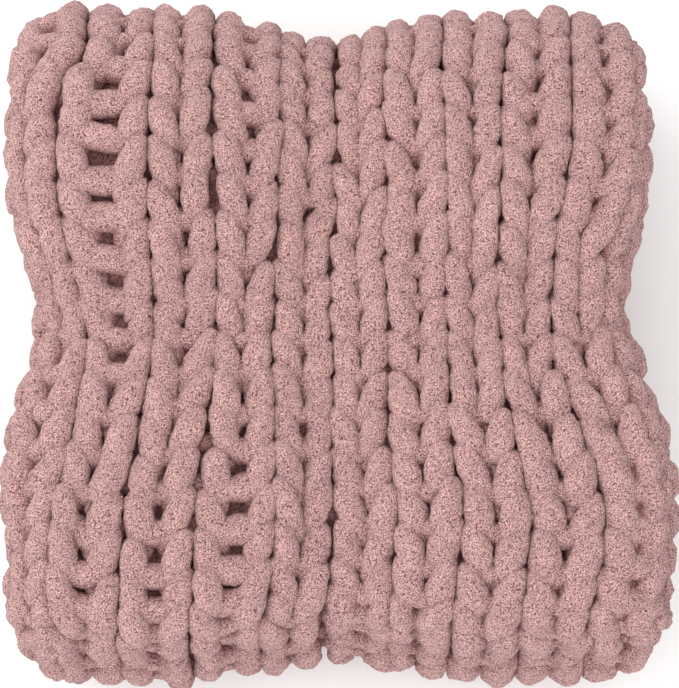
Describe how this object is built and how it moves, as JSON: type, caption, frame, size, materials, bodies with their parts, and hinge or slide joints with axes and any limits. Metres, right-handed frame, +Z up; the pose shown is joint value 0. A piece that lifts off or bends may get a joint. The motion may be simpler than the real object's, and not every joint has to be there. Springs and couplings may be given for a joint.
{
  "type": "folded knitted blanket",
  "caption": "Chunky chenille knit blanket folded back and forth to a square plump pack, with thick ropes of stitches, crowned quarters and pulled-in waists.",
  "frame": {"origin": "centre of the bounding box's base, on the surface that the pack lies on", "axes": "+Z up out of the face, +Y to the spine of the fold, -Y to the two tight folds, X across the ropes"},
  "size_m": [0.4506, 0.46, 0.1668],
  "materials": {
    "folded_blanket": "matt plush chenille, dusty pink"
  },
  "bodies": {
    "root": {"folded_blanket": "folded_blanket"}
  },
  "joints": []
}
